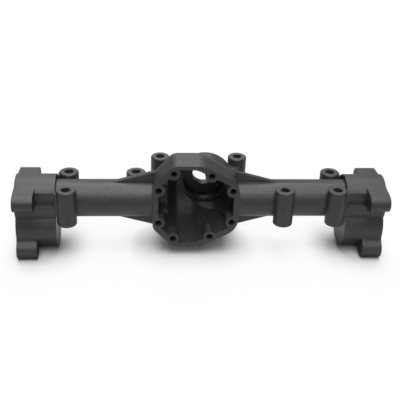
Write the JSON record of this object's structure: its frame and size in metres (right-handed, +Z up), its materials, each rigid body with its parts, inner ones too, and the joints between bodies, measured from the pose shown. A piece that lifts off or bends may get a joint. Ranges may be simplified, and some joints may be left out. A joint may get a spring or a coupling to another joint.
{
  "type": "axle housing",
  "caption": "Moulded portal axle housing with an open differential case, a pinion snout, round link bosses on the tube and a dropped gear case at each end.",
  "frame": {"origin": "on the axle's axis, midway between the outer faces of the two portal cases", "axes": "+X along the axle to the right, -Y out of the cover opening, +Z up"},
  "size_m": [0.1312, 0.0372, 0.036],
  "materials": {
    "housing": "black glass-filled nylon with a fine moulded grain"
  },
  "bodies": {
    "root": {"axle_housing": "housing"}
  },
  "joints": []
}
